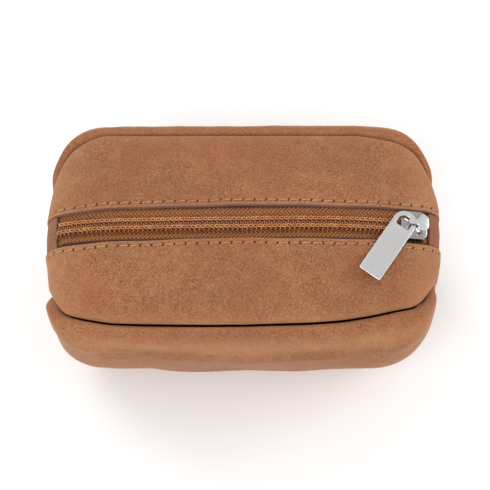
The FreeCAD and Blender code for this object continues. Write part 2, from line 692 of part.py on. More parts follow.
def make_puller():
    """A flat plate with a round head and a D-shaped eye; its frame is the eye's centre."""
    body = doc.addObject("PartDesign::Body", "puller_body")
    sketch = body.newObject("Sketcher::SketchObject", "puller_outline")
    plane = [f for f in body.Origin.OriginFeatures if f.Role == "XY_Plane"][0]
    sketch.AttachmentSupport = [(plane, "")]
    sketch.MapMode = "FlatFace"
    half, length, eye = size("puller_width") / 2.0, size("puller_length"), size("eye_radius")
    tip = length - half
    vector = FreeCAD.Vector
    quarter = math.pi / 2.0

    def line(a, b):
        return sketch.addGeometry(Part.LineSegment(vector(*a, 0), vector(*b, 0)), False)

    def arc(radius):
        circle = Part.Circle(vector(0, 0, 0), vector(0, 0, 1), radius)
        return sketch.addGeometry(Part.ArcOfCircle(circle, quarter, 3.0 * quarter), False)

    def add(kind, *values):
        return sketch.addConstraint(Sketcher.Constraint(kind, *values))

    head = arc(half)
    lower = line((0, -half), (tip, -half))
    end = line((tip, -half), (tip, half))
    upper = line((tip, half), (0, half))
    window = arc(eye)
    window_low = line((0, -eye), (eye * 0.7, -eye))
    window_end = line((eye * 0.7, -eye), (eye * 0.7, eye))
    window_up = line((eye * 0.7, eye), (0, eye))
    for curve, first, second, third in ((head, lower, end, upper),
                                        (window, window_low, window_end, window_up)):
        add("Coincident", curve, 3, -1, 1)
        add("Tangent", curve, 2, first, 1)
        add("Coincident", first, 2, second, 1)
        add("Coincident", second, 2, third, 1)
        add("Tangent", third, 2, curve, 1)
        add("Vertical", second)
        add("Horizontal", first)
    outer_radius = add("Radius", head, half)
    eye_radius = add("Radius", window, eye)
    tip_reach = add("DistanceX", -1, 1, end, 1, tip)
    eye_reach = add("DistanceX", -1, 1, window_end, 1, eye * 0.7)
    for number, expression in ((outer_radius, "{puller_width} / 2"), (eye_radius, "{eye_radius}"),
                               (tip_reach, "{puller_length} - {puller_width} / 2"),
                               (eye_reach, "{eye_radius} * 0.7")):
        sketch.setExpression("Constraints[%d]" % number, named(expression)[0])
    doc.recompute()
    pad = body.newObject("PartDesign::Pad", "puller_plate")
    pad.Profile = sketch
    pad.Midplane = True
    pad.setExpression("Length", named("{puller_thick}")[0])
    doc.recompute()
    flat = [i for i, face in enumerate(pad.Shape.Faces, start=1)
            if abs(face.normalAt(0, 0).z) > 0.99]
    chamfer = body.newObject("PartDesign::Chamfer", "puller_edges")
    chamfer.Base = (pad, ["Face%d" % i for i in flat])
    chamfer.setExpression("Size", named("{puller_edge}")[0])
    body.Tip = chamfer
    doc.recompute()
    return keep(body, "puller")


for maker in (make_slider_body, make_slider_cap, make_lock_pawl, make_lock_spring):
    maker().Placement = SLIDER_FRAME
make_puller().Placement = puller_frame()


# ---------------------------------------------------------------- checks and files

doc.recompute()
for obj in doc.Objects:
    if "Invalid" in obj.State or "Error" in obj.State:
        raise RuntimeError("%s failed: %s" % (obj.Name, obj.State))
for part in parts:
    if part.Shape.isNull() or not part.Shape.isValid() or part.Shape.Volume <= 0.0:
        raise RuntimeError("%s has a bad shape" % part.Label)

os.makedirs("parts", exist_ok=True)
for part in parts:
    part.Shape.exportStep("parts/%s.step" % part.Label)
print("%d sub-parts written" % len(parts))
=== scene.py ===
import math

import bmesh
import bpy
import numpy as np
from mathutils import Matrix, Vector, noise


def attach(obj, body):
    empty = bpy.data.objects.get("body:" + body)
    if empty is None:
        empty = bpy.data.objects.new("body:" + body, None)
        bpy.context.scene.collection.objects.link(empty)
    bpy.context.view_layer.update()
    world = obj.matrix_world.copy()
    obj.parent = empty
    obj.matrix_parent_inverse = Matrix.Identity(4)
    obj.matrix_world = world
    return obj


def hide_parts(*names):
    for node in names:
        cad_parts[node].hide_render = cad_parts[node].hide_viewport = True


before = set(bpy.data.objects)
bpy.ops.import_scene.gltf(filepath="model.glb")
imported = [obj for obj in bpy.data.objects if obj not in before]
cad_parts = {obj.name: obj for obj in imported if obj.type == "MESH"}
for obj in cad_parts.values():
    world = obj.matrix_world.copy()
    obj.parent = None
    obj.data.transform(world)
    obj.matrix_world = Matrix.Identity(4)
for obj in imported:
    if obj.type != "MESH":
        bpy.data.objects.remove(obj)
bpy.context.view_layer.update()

MM = 0.001                      # shapes are worked out in millimetres and made in metres
LEFT, RIGHT = -1.0, 1.0
FRONT, BACK = -1.0, 1.0
SIDES = (("front", FRONT), ("back", BACK))

# ------------------------------------------------------------------ sizes, in millimetres
HEIGHT, HALF_WIDTH, CROWN_R, CORNER_R = 68.0, 59.3, 235.0, 18.0
SHOULDER_R = {LEFT: 9.6, RIGHT: 6.6}
SIDE_TURN = math.radians(93.0)
LEATHER, LINING = 1.4, 0.4
STRIP_SEAM = 72.0
ZIP_GAP, STITCH_INSET, STITCH_PITCH = 5.35, 1.5, 3.45
STITCH_END = 59.0
TAPE_TOP, TAPE_THICK, TAPE_END = -1.5, 0.5, 62.0
COIL_PITCH, COIL_END = 1.4, 54.9
TAB_START = {LEFT: 57.2, RIGHT: 56.4}
TAB_HALF, TAB_UNDER = 5.2, -1.45
# the slider, in its own frame: X along the zip, Z out of the pouch
SLIDER_Q = 50.8
WING_TOP = 1.1
BAR_X, BAR_RISE, ROOF_GAP = -0.4, 0.95, 0.97
BAR = Vector((BAR_X, 0.0, WING_TOP + BAR_RISE))
PULLER_HALF, PULLER_LENGTH, PULLER_EYE = 3.6, 23.3, 2.25
PULLER_YAW, PULLER_PITCH, PULLER_ROLL = 57.0, 3.0, 5.0


def ease(start, end, value):
    """0 before start, 1 after end, and a smooth step between them."""
    share = np.clip((np.asarray(value, float) - start) / (end - start), 0.0, 1.0)
    return share * share * (3.0 - 2.0 * share)


def mix(low, high, share):
    return low + (high - low) * share


def blur(values, width):
    """Values on an even grid, smoothed over a width given in grid steps."""
    reach = int(3 * width)
    weights = np.exp(-0.5 * (np.arange(-reach, reach + 1) / width) ** 2)
    padded = np.concatenate([2 * values[0] - values[reach:0:-1], values,
                             2 * values[-1] - values[-2:-reach - 2:-1]])
    return np.convolve(padded, weights / weights.sum(), "valid")


def ripple(x, y, z, scale, seed):
    """Smooth noise between about -1 and 1 at each point, its features about scale mm across."""
    flat = np.stack(np.broadcast_arrays(x, y, z), -1).reshape(-1, 3) / scale
    values = [noise.noise(Vector((p[0] + seed * 7.3, p[1] - seed * 3.1, p[2] + seed * 5.7)))
              for p in flat]
    return np.array(values).reshape(np.broadcast(x, y, z).shape) * 1.6


# ------------------------------------------------------------------ the loop round the pouch
STEP = 0.2


def trace_half(shoulder):
    """From the top middle over one shoulder to the bottom middle: distance, x, z and turn."""
    crown = math.asin((HALF_WIDTH - shoulder) / (CROWN_R - shoulder))
    centre_x = (CROWN_R - shoulder) * math.sin(crown)
    centre_z = HEIGHT - CROWN_R + (CROWN_R - shoulder) * math.cos(crown)
    side_x = centre_x + shoulder * math.sin(SIDE_TURN)
    side_z = centre_z + shoulder * math.cos(SIDE_TURN)
    side = (side_z - CORNER_R * (1 + math.cos(SIDE_TURN))) / math.sin(SIDE_TURN)
    foot_x = side_x + math.cos(SIDE_TURN) * side - CORNER_R * math.sin(SIDE_TURN)
    runs = [CROWN_R * crown, shoulder * (SIDE_TURN - crown), side,
            CORNER_R * (math.pi - SIDE_TURN), foot_x]
    ends = np.concatenate([[0.0], np.cumsum(runs)])
    run = np.arange(0.0, ends[-1] + STEP / 2, STEP)
    turn = np.interp(run, ends, [0.0, crown, SIDE_TURN, SIDE_TURN, math.pi, math.pi])
    turn = blur(turn, 1.9 / STEP)
    turn -= turn[0] * (1 - ease(0.0, 8.0, run))
    x = np.concatenate([[0.0], np.cumsum(np.cos((turn[1:] + turn[:-1]) / 2) * STEP)])
    z = HEIGHT - np.concatenate([[0.0], np.cumsum(np.sin((turn[1:] + turn[:-1]) / 2) * STEP)])
    settle = ease(ends[1], ends[-1], run)
    return run, x - x[-1] * settle, z - z[-1] * settle, turn


HALVES = {side: trace_half(SHOULDER_R[side]) for side in (LEFT, RIGHT)}
Q_END = {side: HALVES[side][0][-1] for side in (LEFT, RIGHT)}
Q_CORNER_START, Q_CORNER_END = 101.5, 128.5


def loop_place(q):
    """x, z, and the outward direction's x and z, at distance q along the loop."""
    q = np.asarray(q, float)
    out = []
    for column in (1, 2, 3):
        ends = [np.interp(np.abs(q), HALVES[side][0], HALVES[side][column])
                for side in (LEFT, RIGHT)]
        out.append(np.where(q < 0.0, ends[0], ends[1]))
    x, z, turn = out
    sign = np.where(q < 0.0, -1.0, 1.0)
    return sign * x, z, sign * np.sin(turn), np.cos(turn)


# distance along the loop and half the band's width there, solved to follow one pouch's seams
HALF_KNOTS = {
    (FRONT, RIGHT): ((0, 30.8), (10, 30.4), (20, 29.9), (30, 28.8), (36, 27.7), (40, 26.9),
                     (44, 25.9), (48, 24.9), (52, 24.2), (56, 21.2), (60, 17.7), (64, 16.1),
                     (72, 15)),
    (FRONT, LEFT): ((0, 30.8), (10, 30.8), (20, 30.5), (30, 30.0), (36, 29.7), (40, 29.5),
                    (44, 28.8), (48, 28.0), (52, 27.0), (56, 25.9), (60, 21.8), (64, 18.3),
                    (68, 16.7), (72, 15)),
    (BACK, RIGHT): ((0, 31.3), (10, 31.4), (20, 31.7), (30, 32.1), (36, 32.3), (40, 31.7),
                    (44, 31.0), (48, 30.1), (52, 27.9), (56, 23.9), (60, 18.5), (64, 16.9),
                    (72, 15)),
    (BACK, LEFT): ((0, 31.3), (10, 31.4), (20, 31.7), (30, 32.1), (36, 32.3), (44, 32.4),
                   (48, 30.9), (52, 28.4), (56, 25.7), (60, 20.3), (64, 17.6), (72, 15)),
}
HALF_STEP, HALF_BLUR = 0.5, 1.5
HALF_GRID = np.arange(0.0, 200.0, HALF_STEP)
HALF_CURVES = {}
for place, knots in HALF_KNOTS.items():
    curve = np.interp(HALF_GRID, [k[0] for k in knots], [k[1] for k in knots])
    HALF_CURVES[place] = blur(curve, HALF_BLUR / HALF_STEP)


def band_half(q, back):
    """Distance from the zip's middle plane to the seam."""
    ends = [np.interp(np.abs(q), HALF_GRID, HALF_CURVES[back, side]) for side in (LEFT, RIGHT)]
    return np.where(np.asarray(q) < 0.0, ends[0], ends[1])


def dome(q):
    """How far the seam lies inside the zip's line."""
    depth = mix(7.0, 1.5, ease(25.0, 75.0, np.abs(q)))
    return depth - 1.2 * ease(Q_CORNER_START, Q_CORNER_END, np.abs(q))


def band_place(q, across, back):
    """A point of the band's smooth face, across being the distance from the zip, as x, y, z."""
    x, z, nx, nz = loop_place(q)
    fall = dome(q) * (across / band_half(q, back)) ** 2
    return np.stack(np.broadcast_arrays(x - nx * fall, back * across, z - nz * fall), -1)


def both_sides(q, y):
    """Points of the band at distance y from the zip, to the front where y is negative."""
    return np.where((y < 0)[..., None], band_place(q, -y, FRONT), band_place(q, y, BACK))


def strip_sway(q):
    """How far the strips' edges have shifted towards the back, in mm."""
    return np.interp(q, (-72, -62, -55, -41, -20, 0, 20, 36, 41, 52, 58),
                     (0, -0.6, -0.85, -0.35, -0.65, -0.62, -0.2, 0.1, 0.2, 0.0, 0.0))


def chain_sway(q):
    """How far the chain has shifted towards the back; it wanders more than the strips."""
    return np.interp(q, (-62, -57, -54.8, -46, -37, -29, -15, 0, 14, 28, 42, 58),
                     (-0.8, -0.6, -0.2, -0.15, -0.35, -0.75, -1.05, -1.15, -0.7, -0.2, 0.0, 0.0))


REACH_HEIGHT = 46.0             # where a panel's face stands out furthest


def face_reach(z, back):
    """Distance of a panel's face from the middle plane at height z."""
    below = np.clip((REACH_HEIGHT - z) / REACH_HEIGHT, 0.0, 1.0)
    above = np.clip((z - REACH_HEIGHT) / (HEIGHT - REACH_HEIGHT), 0.0, 1.0)
    return mix(35.5, 37.2, (back + 1) / 2) - 16.5 * below ** 1.7 - 2.0 * above ** 2


def roll_width(q, back):
    """Width of the rolled edge, between the seam and the panel's face."""
    side, start = (24.0, 38.0) if back > 0 else (17.0, 50.0)
    width = mix(8.0, side, ease(start, 72.0, np.abs(q)))
    return width + (11.0 - side) * ease(Q_CORNER_START, Q_CORNER_END, np.abs(q))


def panel_place(q, turn, inward, back):
    """A point of a panel: turn goes over the rolled edge (0 to 90), then inward to the middle."""
    seam = band_place(q, band_half(q, back), back)
    dx, dz = -seam[..., 0], HEIGHT / 2 - seam[..., 2]
    away = np.hypot(dx, dz)
    roll = roll_width(q, back)
    angle = np.radians(turn)
    run = roll * (1 - np.cos(angle)) + (away - roll) * inward
    x, z = seam[..., 0] + dx * run / away, seam[..., 2] + dz * run / away
    flat = ease(0.2, 0.62, inward)
    plane = face_reach(HEIGHT / 2, back) + 0.2 * (z - HEIGHT / 2)
    reach = mix(face_reach(z, back), plane, flat)
    y = mix(band_half(q, back), reach, np.sin(angle))
    return np.stack([x, back * y, z], -1)


# ------------------------------------------------------------------ meshes
def grid_normals(points, away_from):
    """Unit normals of a grid of points, on the side that faces away from a point."""
    along = np.gradient(points, axis=0)
    across = np.gradient(points, axis=1)
    normals = np.cross(along, across)
    normals /= np.maximum(np.linalg.norm(normals, axis=-1, keepdims=True), 1e-9)
    facing = np.sum(normals * (points - np.array(away_from)), -1, keepdims=True)
    return normals * np.where(np.median(facing) < 0, -1.0, 1.0)


def make_piece(name, points, faces, material, body, nodes=(), data=None):
    """A piece from points in millimetres and faces, closed, with outward normals."""
    mesh = bpy.data.meshes.new(name)
    mesh.from_pydata((np.asarray(points, float) * MM).tolist(), [], faces)
    for key, values in (data or {}).items():
        values = np.asarray(values, np.float32)
        kind, field = ("FLOAT", "value") if values.ndim == 1 else ("FLOAT_VECTOR", "vector")
        mesh.attributes.new(key, kind, "POINT").data.foreach_set(field, values.ravel())
    work = bmesh.new()
    work.from_mesh(mesh)
    bmesh.ops.recalc_face_normals(work, faces=work.faces)
    work.to_mesh(mesh)
    work.free()
    mesh.shade_smooth()
    return place_piece(name, mesh, material, body, nodes)


def place_piece(name, mesh, material, body, nodes=()):
    mesh.materials.clear()
    mesh.materials.append(material)
    piece = bpy.data.objects.new(name, mesh)
    bpy.context.scene.collection.objects.link(piece)
    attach(piece, body)
    if nodes:
        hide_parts(*nodes)
    return piece


def loft_faces(rings, sides):
    """Faces of a tube of rings x sides points, capped at both ends."""
    faces = []
    for i in range(rings - 1):
        a, b = i * sides, (i + 1) * sides
        for j in range(sides):
            k = (j + 1) % sides
            faces.append((a + j, b + j, b + k, a + k))
    faces.append(tuple(range(sides)))
    faces.append(tuple(range((rings - 1) * sides, rings * sides))[::-1])
    return faces


class Batch:
    """Points and faces of several closed shapes that make one piece."""

    def __init__(self):
        self.points, self.faces, self.count = [], [], 0

    def add(self, points, faces):
        self.points.append(points)
        self.faces += [tuple(i + self.count for i in face) for face in faces]
        self.count += len(points)

    def piece(self, name, material, slot):
        """Makes the piece, which rides on the pouch and stands for the node of its name."""
        return make_piece(name, np.concatenate(self.points), self.faces, material, "pouch",
                          [name])


def tube(path, radius, sides):
    """Points of a round tube along a path, and its faces."""
    path = np.asarray(path, float)
    ways = np.gradient(path, axis=0)
    ways /= np.linalg.norm(ways, axis=1, keepdims=True)
    side = np.cross(ways[0], (0.31, 0.17, 0.93))
    rings = []
    radius = np.broadcast_to(radius, len(path))
    angles = np.arange(sides) * 2 * math.pi / sides
    for point, way, size in zip(path, ways, radius):
        side = side - way * np.dot(side, way)
        side /= np.linalg.norm(side)
        other = np.cross(way, side)
        circle = np.cos(angles)[:, None] * side + np.sin(angles)[:, None] * other
        rings.append(point + size * circle)
    return np.concatenate(rings), loft_faces(len(path), sides)


def sheet_points(base, normals, top, bottom):
    """A closed sheet over a grid: outer and inner faces joined all round."""
    outer, inner = base + normals * top[..., None], base + normals * bottom[..., None]
    return np.concatenate([outer.reshape(-1, 3), inner.reshape(-1, 3)])


def sheet_faces(rows, columns):
    """Faces of a closed sheet: two grids with borders."""
    size = rows * columns
    faces = []
    for i in range(rows - 1):
        k = i + 1
        for j in range(columns - 1):
            face = (i * columns + j, k * columns + j, k * columns + j + 1, i * columns + j + 1)
            faces.append(face)
            faces.append(tuple(size + v for v in face[::-1]))
        for j in (0, columns - 1):
            faces.append((i * columns + j, k * columns + j, size + k * columns + j,
                          size + i * columns + j))
    for i in (0, rows - 1):
        for j in range(columns - 1):
            faces.append((i * columns + j, i * columns + j + 1, size + i * columns + j + 1,
                          size + i * columns + j))
    return faces


# ------------------------------------------------------------------ materials
def srgb(red, green, blue):
    """A linear colour from the usual 0 to 255 numbers."""
    out = []
    for value in (red, green, blue):
        value /= 255.0
        out.append(value / 12.92 if value <= 0.04045 else ((value + 0.055) / 1.055) ** 2.4)
    return (*out, 1.0)


class Paint:
    """A material's node tree, with short ways to add and join nodes."""

    def __init__(self, name, **sockets):
        self.material = bpy.data.materials.new(name)
        self.material.use_nodes = True
        self.tree = self.material.node_tree
        self.shader = self.tree.nodes["Principled BSDF"]
        self.place = self.add("ShaderNodeTexCoord").outputs["Object"]
        self.set(self.shader, sockets)

    def set(self, node, sockets):
        for key, value in sockets.items():
            socket = node.inputs[key if isinstance(key, int) else key.replace("_", " ")]
            if isinstance(value, bpy.types.NodeSocket):
                self.tree.links.new(value, socket)
            else:
                socket.default_value = value

    def add(self, kind, settings=None, **sockets):
        node = self.tree.nodes.new(kind)
        for key, value in (settings or {}).items():
            setattr(node, key, value)
        self.set(node, sockets)
        return node

    def noise(self, size_mm, detail=3.0, rough=0.55, place=None, **extra):
        """Noise with features of about size_mm, from 0 to 1."""
        node = self.add("ShaderNodeTexNoise", Vector=place or self.place, Scale=1.0 / (size_mm * MM),
                        Detail=detail, Roughness=rough, **extra)
        return node.outputs["Fac"]

    def remap(self, value, low, high, to_low=0.0, to_high=1.0):
        node = self.add("ShaderNodeMapRange", {"clamp": True})
        self.set(node, {0: value, 1: low, 2: high, 3: to_low, 4: to_high})
        return node.outputs[0]

    def math(self, operation, *values):
        node = self.add("ShaderNodeMath", {"operation": operation})
        self.set(node, dict(enumerate(values)))
        return node.outputs[0]

    def blend(self, share, low, high):
        node = self.add("ShaderNodeMix", {"data_type": "RGBA"})
        self.set(node, {0: share, 6: low, 7: high})
        return node.outputs[2]

    def attribute(self, name, output="Fac"):
        return self.add("ShaderNodeAttribute", {"attribute_name": name}).outputs[output]

    def bump(self, height, strength, distance_mm, normal=None):
        node = self.add("ShaderNodeBump", Strength=strength, Distance=distance_mm * MM, Height=height)
        if normal is not None:
            self.set(node, {"Normal": normal})
        return node.outputs["Normal"]


def nubuck(name, base, dark, light, edge):
    """Brushed leather: fine speckle, soft mottling, paler rubbed edges with a painted highlight on
    bends, painted edges, and needle holes darkened with painted shade.
    """
    paint = Paint(name, Specular_IOR_Level=0.25, Sheen_Weight=0.22, Sheen_Roughness=0.45,
                  Sheen_Tint=srgb(226, 190, 160))
    speckle = paint.noise(0.40, 3.0, 0.7)
    mottle = paint.noise(4.5, 4.0, 0.6)
    cloud = paint.noise(24.0, 3.0, 0.5)
    colour = paint.blend(paint.remap(speckle, 0.38, 0.56), dark, base)
    flecks = paint.remap(paint.noise(0.62, 2.0, 0.6), 0.52, 0.68, 0.0, 0.5)
    colour = paint.blend(flecks, colour, light)
    colour = paint.blend(paint.remap(mottle, 0.46, 0.74, 0.0, 0.3), colour, light)
    warm = paint.remap(paint.noise(15.0, 2.0, 0.5), 0.45, 0.68, 0.0, 0.35)
    colour = paint.blend(warm, colour, srgb(150, 84, 54))
    colour = paint.blend(paint.remap(cloud, 0.36, 0.62, 0.22, 0.0), colour, dark)
    scuffs = paint.noise(9.0, 2.0, 0.5, Distortion=1.4)
    ridge = paint.math("ABSOLUTE", paint.math("SUBTRACT", scuffs, 0.5))
    crease = paint.remap(ridge, 0.0, 0.014, 0.10, 0.0)
    colour = paint.blend(crease, colour, light)
    # paler where rubbed at edges and seams (wear), and a painted highlight where the leather bends
    colour = paint.blend(paint.math("MULTIPLY", paint.attribute("wear_and_bend_highlight"), 0.75), colour, light)
    colour = paint.blend(paint.attribute("edge"), colour, edge)
    # needle holes darkened to near black: painted shade inside the holes
    colour = paint.blend(paint.remap(paint.attribute("hole"), 0.1, 0.6), colour, srgb(34, 17, 10))
    rough = paint.remap(speckle, 0.3, 0.7, 0.92, 0.74)
    pores = paint.add("ShaderNodeTexVoronoi", Vector=paint.place, Scale=1.0 / (0.75 * MM))
    grain = paint.math("MULTIPLY_ADD", pores.outputs["Distance"], 0.35, speckle)
    normal = paint.bump(mottle, 0.35, 0.25)
    normal = paint.bump(paint.math("SUBTRACT", grain, paint.math("MULTIPLY", crease, 1.2)),
                        0.42, 0.09, normal)
    paint.set(paint.shader, {"Base Color": colour, "Roughness": rough, "Normal": normal})
    return paint.material


def woven(name, base, dark, light, pitch, herring=False):
    """A woven tape or lining; its threads follow the piece's own place attribute, in mm."""
    paint = Paint(name, Roughness=0.78, Specular_IOR_Level=0.3, Sheen_Weight=0.15)
    split = paint.add("ShaderNodeSeparateXYZ", Vector=paint.attribute("place", "Vector"))
    along, across = split.outputs[0], split.outputs[1]
    if herring:
        half = paint.math("PINGPONG", across, 1.35)
        slant = paint.math("MULTIPLY_ADD", half, 1.2, along)
    else:
        slant = paint.math("ADD", along, across)
    first = paint.math("SINE", paint.math("MULTIPLY", slant, 2 * math.pi / pitch))
    other = paint.math("SINE", paint.math("MULTIPLY", paint.math("SUBTRACT", along, across),
                                          2 * math.pi / (pitch * 0.8)))
    height = paint.math("MULTIPLY_ADD", other, 0.6, first)
    fibre = paint.noise(0.25, 3.0, 0.7)
    colour = paint.blend(paint.remap(height, -0.8, 0.6), dark, base)
    colour = paint.blend(paint.remap(fibre, 0.45, 0.75, 0.0, 0.5), colour, light)
    colour = paint.blend(paint.attribute("shade"), colour, srgb(30, 15, 8))
    if herring:
        beat = paint.math("SINE", paint.math("MULTIPLY", along, 2 * math.pi / COIL_PITCH))
        dots = paint.math("MULTIPLY", paint.remap(half, 0.12, 0.42, 1.0, 0.0),
                          paint.remap(beat, 0.0, 0.7))
        colour = paint.blend(paint.math("MULTIPLY", dots, 0.7), colour, srgb(70, 38, 20))
    normal = paint.bump(paint.math("MULTIPLY_ADD", fibre, 0.5, height), 0.5, 0.08)
    paint.set(paint.shader, {"Base Color": colour, "Normal": normal})
    return paint.material


def fibrous(name, base, dark, light, rough=0.7):
    """Spun thread: short fibres, with paler patches."""
    paint = Paint(name, Roughness=rough, Specular_IOR_Level=0.35, Sheen_Weight=0.2)
    fibre = paint.noise(0.18, 3.0, 0.7)
    patch = paint.noise(2.2, 2.0, 0.5)
    colour = paint.blend(paint.remap(fibre, 0.35, 0.65), dark, base)
    colour = paint.blend(paint.remap(patch, 0.45, 0.7, 0.0, 0.7), colour, light)
    paint.set(paint.shader, {"Base Color": colour, "Normal": paint.bump(fibre, 0.5, 0.05)})
    return paint.material


def filament(name, base, light):
    """Glossy monofilament of the coils."""
    paint = Paint(name, Specular_IOR_Level=0.5, Coat_Weight=0.15, Coat_Roughness=0.15)
    cloud = paint.noise(1.1, 3.0, 0.6)
    fine = paint.noise(0.15, 2.0, 0.5)
    paint.set(paint.shader, {
        "Base Color": paint.blend(paint.remap(cloud, 0.4, 0.7), base, light),
        "Roughness": paint.remap(fine, 0.3, 0.7, 0.2, 0.36),
        "Normal": paint.bump(fine, 0.15, 0.03)})
    return paint.material


def metal(name, colour, dark, rough, grain):
    """Plated metal: faint clouding, fine brushing and smudges in its gloss."""
    paint = Paint(name, Metallic=1.0)
    stretch = paint.add("ShaderNodeMapping", Vector=paint.place, Scale=(1.0, 6.0, 1.0))
    brushed = paint.noise(0.35, 3.0, 0.6, place=stretch.outputs[0])
    smudge = paint.noise(3.2, 3.0, 0.55)
    paint.set(paint.shader, {
        "Base Color": paint.blend(paint.remap(smudge, 0.35, 0.75, 0.0, 0.5), colour, dark),
        "Roughness": paint.remap(paint.math("MULTIPLY_ADD", smudge, 0.6, brushed), 0.5, 1.1,
                                 rough * 0.8, rough * 1.3),
        "Normal": paint.bump(brushed, grain, 0.02)})
    return paint.material


TAN = nubuck("tan_nubuck", srgb(154, 100, 66), srgb(108, 64, 40), srgb(184, 134, 96),
             srgb(134, 98, 88))
TAB_TAN = nubuck("tab_nubuck", srgb(136, 86, 58), srgb(110, 67, 43), srgb(160, 112, 82),
                 srgb(134, 98, 88))
TAPE = woven("zip_tape_weave", srgb(162, 98, 50), srgb(58, 28, 12), srgb(196, 132, 74), 1.25, True)
LINING_CLOTH = woven("lining_weave", srgb(112, 82, 62), srgb(74, 52, 38), srgb(134, 104, 82), 0.5)
COIL_PLASTIC = filament("coil_filament", srgb(124, 64, 30), srgb(150, 84, 42))
CHAIN_THREAD = fibrous("chain_thread", srgb(200, 134, 74), srgb(160, 98, 50), srgb(224, 168, 106))
SEWING_THREAD = fibrous("sewing_thread", srgb(196, 146, 98), srgb(160, 110, 68), srgb(214, 168, 122))
CORD_FIBRE = fibrous("cord_fibre", srgb(160, 100, 56), srgb(120, 72, 38), srgb(182, 126, 80))
SATIN = metal("satin_plate", (0.78, 0.77, 0.765, 1.0), (0.70, 0.69, 0.685, 1.0), 0.2, 0.10)
# a glossier copy of the plating whose low colour is a painted dark reflection on the slider body
POLISHED_PAINTED_DARK = metal("polished_plate_painted_dark", (0.46, 0.455, 0.45, 1.0), (0.30, 0.295, 0.29, 1.0), 0.1, 0.04)
STEEL = metal("spring_steel", (0.6, 0.6, 0.61, 1.0), (0.5, 0.5, 0.51, 1.0), 0.3, 0.15)

LINING_TOP = -LEATHER - 0.75
THREAD_RADIUS = 0.15

# ------------------------------------------------------------------ the band's leather pieces
SEAM_GAP = 0.12
SEAM_DEPTH = 1.15               # how far leather turns down into a seam
BAND_CENTRE, POUCH_CENTRE = (0, 0, 20), (0, 0, 34)      # outward normals face away from these


def seam_roll(distance):
    """Level of leather that turns down into a seam, by the distance from it."""
    near = np.clip(1.0 - distance / 1.5, 0.0, 1.0)
    return -SEAM_DEPTH * (1.0 - np.sqrt(np.clip(1.0 - near ** 2, 0.0, 1.0)))


def cut_roll(distance, radius=0.35):
    """Level of a cut edge, rounded over by a small radius."""
    near = np.clip(1.0 - distance / radius, 0.0, 1.0)
    return -radius * (1.0 - np.sqrt(np.clip(1.0 - near ** 2, 0.0, 1.0)))


def undulation(points, seed, depth):
    """Slow rises and falls of hand-made leather, in mm."""
    x, y, z = points[..., 0], points[..., 1], points[..., 2]
    return depth * (ripple(x, y, z, 26.0, seed) + 0.35 * ripple(x, y, z, 10.0, seed + 4))


def pucker(q, distance, seed, depth):
    """Gathers along a seam: short waves that die away from it."""
    wave = np.sin(2 * math.pi * q / 7.6 + 2.0 * np.sin(q / 11.0 + seed))
    return depth * wave * np.exp(-distance / 4.0)


def stitch_middles():
    count = math.ceil(2 * STITCH_END / STITCH_PITCH)
    return -STITCH_END + 2 * STITCH_END * np.arange(count + 1) / count


def zip_edge(q, back):
    """Distance of a strip's cut edge from the zip, slightly uneven."""
    q = np.asarray(q, float)
    return ZIP_GAP + 0.10 * np.sin(q / 7.3 + back) + 0.07 * np.sin(q / 3.1 + 2.0 * back)


def spread(edge, seam, count):
    """Distances from a strip's cut edge to its seam, close together at both."""
    fine = np.array([0.0, 0.05, 0.12, 0.22, 0.36, 0.6, 0.9, 1.1, 1.3, 1.5, 1.7, 1.9, 2.1, 2.5])
    last = np.array([1.9, 1.45, 1.1, 0.8, 0.55, 0.35, 0.2, 0.08, 0.0])
    start, stop = fine[-1] + 0.7, last[0] + 0.7
    width = (seam - edge)[:, None]
    middle = start + (width - stop - start) * np.linspace(0.0, 1.0, count)[None, :]
    return np.concatenate([np.broadcast_to(fine, (len(edge), len(fine))), middle, width - last], 1)


